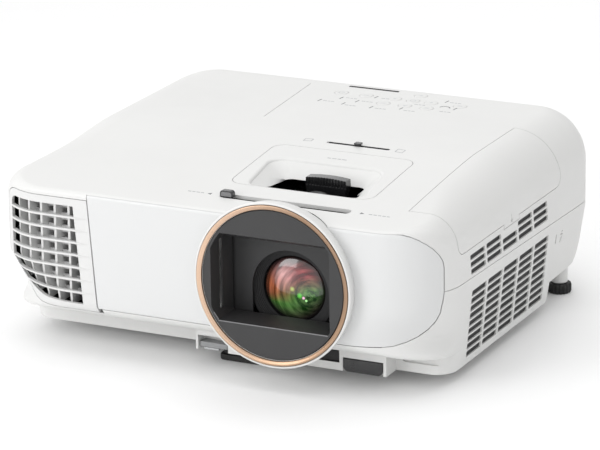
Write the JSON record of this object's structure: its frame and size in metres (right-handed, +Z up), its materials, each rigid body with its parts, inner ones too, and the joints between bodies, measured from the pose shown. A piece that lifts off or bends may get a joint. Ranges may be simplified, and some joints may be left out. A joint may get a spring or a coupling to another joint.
{
  "type": "home projector",
  "caption": "White home projector with a round copper-trimmed lens hood, sliding lens shutter, top controls, vented sides and adjustable feet.",
  "frame": {"origin": "middle of the bounding box footprint, on the surface the feet stand on", "axes": "+Z up, -Y the way the lens looks, +X the viewer's right when facing the lens"},
  "size_m": [0.309, 0.285, 0.1237],
  "materials": {
    "case_white": "satin white moulded plastic",
    "panel_white": "satin cool white moulded plastic",
    "rear_grey": "satin light grey plastic",
    "copper_trim": "rose copper anodised, turned",
    "hood_black": "matte charcoal plastic",
    "gloss_black": "gloss black plastic",
    "coated_glass": "clear glass with anti-reflection coating",
    "foot_rubber": "matte black rubber",
    "lever_grey": "satin grey plastic",
    "steel": "plated steel",
    "connector_blue": "blue connector plastic",
    "filter_foam": "dark pleated filter",
    "cast_aluminium": "die-cast, matte",
    "reflector": "mirror",
    "board_green": "solder mask",
    "button_white": "satin white plastic"
  },
  "bodies": {
    "case": {"top_case": "case_white", "bottom_case": "case_white", "adjuster_bezel": "case_white", "front_panel": "panel_white", "exhaust_grille": "panel_white", "rear_panel": "rear_grey", "trim_ring": "copper_trim", "lens_hood": "hood_black", "lens_barrel": "gloss_black", "front_lens": "coated_glass", "status_window": "gloss_black", "ir_window": "gloss_black", "power_inlet": "hood_black", "hdmi_port_one": "steel", "hdmi_port_two": "steel", "usb_port": "steel", "vga_port": "connector_blue", "audio_port": "hood_black", "exhaust_fan_frame": "hood_black", "intake_fan_frame": "hood_black", "air_filter": "filter_foam", "optics_base": "cast_aluminium", "prism_cube": "coated_glass", "lcd_panel_red": "hood_black", "lcd_panel_blue": "hood_black", "lcd_panel_green": "hood_black", "lamp_housing": "lever_grey", "lamp_reflector": "reflector", "main_board": "board_green", "power_board": "board_green", "speaker": "hood_black", "base_screw_right": "steel", "base_screw_left": "steel"},
    "shutter": {"lens_shutter": "hood_black", "shutter_knob": "gloss_black"},
    "keystone_slider": {"keystone_knob": "gloss_black"},
    "focus_ring": {"focus_ring": "gloss_black"},
    "zoom_ring": {"zoom_ring": "gloss_black"},
    "filter_cover": {"side_cover": "case_white"},
    "exhaust_rotor": {"exhaust_fan_rotor": "hood_black"},
    "intake_rotor": {"intake_fan_rotor": "hood_black"},
    "front_foot": {"front_foot_leg": "hood_black", "front_foot_pad": "foot_rubber"},
    "release_lever": {"foot_release_lever": "lever_grey"},
    "button_enter": {"button_enter": "button_white"},
    "button_up": {"button_up": "button_white"},
    "button_down": {"button_down": "button_white"},
    "button_left": {"button_left": "button_white"},
    "button_right": {"button_right": "button_white"},
    "button_power": {"button_power": "button_white"},
    "button_source": {"button_source": "button_white"},
    "button_menu": {"button_menu": "button_white"},
    "button_escape": {"button_escape": "button_white"},
    "button_home": {"button_home": "button_white"},
    "rear_stem_right": {"rear_foot_stem_right": "steel"},
    "rear_wheel_right": {"rear_foot_wheel_right": "foot_rubber"},
    "rear_stem_left": {"rear_foot_stem_left": "steel"},
    "rear_wheel_left": {"rear_foot_wheel_left": "foot_rubber"}
  },
  "joints": [
    {"name": "shutter_slide", "type": "slide", "parent": "case", "child": "shutter", "axis": [1, 0, 0], "range_m": [0, 0.079]},
    {"name": "keystone_slide", "type": "slide", "parent": "case", "child": "keystone_slider", "axis": [1, 0, 0], "range_m": [-0.0195, 0.0195]},
    {"name": "focus_turn", "type": "hinge", "parent": "case", "child": "focus_ring", "pos_m": [0.0501, -0.0775, 0.058], "axis": [0, 1, 0], "range_deg": [-18, 18]},
    {"name": "zoom_turn", "type": "hinge", "parent": "case", "child": "zoom_ring", "pos_m": [0.0501, -0.0605, 0.058], "axis": [0, 1, 0], "range_deg": [-9.5, 9.5]},
    {"name": "cover_hinge", "type": "hinge", "parent": "case", "child": "filter_cover", "pos_m": [0.122, 0, 0.122], "axis": [0, -1, 0], "range_deg": [0, 75]},
    {"name": "exhaust_spin", "type": "hinge", "parent": "case", "child": "exhaust_rotor", "pos_m": [-0.1035, -0.0905, 0.06825], "axis": [0, 1, 0], "continuous": true},
    {"name": "intake_spin", "type": "hinge", "parent": "case", "child": "intake_rotor", "pos_m": [0.1191, -0.0145, 0.05625], "axis": [1, 0, 0], "continuous": true},
    {"name": "front_foot_slide", "type": "slide", "parent": "case", "child": "front_foot", "axis": [0, 0, -1], "range_m": [0, 0.024]},
    {"name": "release_press", "type": "slide", "parent": "case", "child": "release_lever", "axis": [0, 0, 1], "range_m": [0, 0.003], "stiffness_N_per_m": 300, "springref_m": -0.002},
    {"name": "button_enter_press", "type": "slide", "parent": "case", "child": "button_enter", "axis": [0, 0, -1], "range_m": [0, 0.0008], "stiffness_N_per_m": 400, "springref_m": -0.001},
    {"name": "button_up_press", "type": "slide", "parent": "case", "child": "button_up", "axis": [0, 0, -1], "range_m": [0, 0.0008], "stiffness_N_per_m": 400, "springref_m": -0.001},
    {"name": "button_down_press", "type": "slide", "parent": "case", "child": "button_down", "axis": [0, 0, -1], "range_m": [0, 0.0008], "stiffness_N_per_m": 400, "springref_m": -0.001},
    {"name": "button_left_press", "type": "slide", "parent": "case", "child": "button_left", "axis": [0, 0, -1], "range_m": [0, 0.0008], "stiffness_N_per_m": 400, "springref_m": -0.001},
    {"name": "button_right_press", "type": "slide", "parent": "case", "child": "button_right", "axis": [0, 0, -1], "range_m": [0, 0.0008], "stiffness_N_per_m": 400, "springref_m": -0.001},
    {"name": "button_power_press", "type": "slide", "parent": "case", "child": "button_power", "axis": [0, 0, -1], "range_m": [0, 0.0008], "stiffness_N_per_m": 400, "springref_m": -0.001},
    {"name": "button_source_press", "type": "slide", "parent": "case", "child": "button_source", "axis": [0, 0, -1], "range_m": [0, 0.0008], "stiffness_N_per_m": 400, "springref_m": -0.001},
    {"name": "button_menu_press", "type": "slide", "parent": "case", "child": "button_menu", "axis": [0, 0, -1], "range_m": [0, 0.0008], "stiffness_N_per_m": 400, "springref_m": -0.001},
    {"name": "button_escape_press", "type": "slide", "parent": "case", "child": "button_escape", "axis": [0, 0, -1], "range_m": [0, 0.0008], "stiffness_N_per_m": 400, "springref_m": -0.001},
    {"name": "button_home_press", "type": "slide", "parent": "case", "child": "button_home", "axis": [0, 0, -1], "range_m": [0, 0.0008], "stiffness_N_per_m": 400, "springref_m": -0.001},
    {"name": "rear_stem_right_travel", "type": "slide", "parent": "case", "child": "rear_stem_right", "axis": [0, 0, -1], "range_m": [0, 0.009]},
    {"name": "rear_wheel_right_turn", "type": "hinge", "parent": "rear_stem_right", "child": "rear_wheel_right", "pos_m": [0.1365, 0.1105, 0], "axis": [0, 0, -1], "range_deg": [0, 2160]},
    {"name": "rear_stem_left_travel", "type": "slide", "parent": "case", "child": "rear_stem_left", "axis": [0, 0, -1], "range_m": [0, 0.009]},
    {"name": "rear_wheel_left_turn", "type": "hinge", "parent": "rear_stem_left", "child": "rear_wheel_left", "pos_m": [-0.1365, 0.1105, 0], "axis": [0, 0, -1], "range_deg": [0, 2160]}
  ],
  "couplings": [
    {"joint": "rear_wheel_right_turn", "follows": "rear_stem_right_travel", "rad_per_m": 4188.8},
    {"joint": "rear_wheel_left_turn", "follows": "rear_stem_left_travel", "rad_per_m": 4188.8}
  ]
}
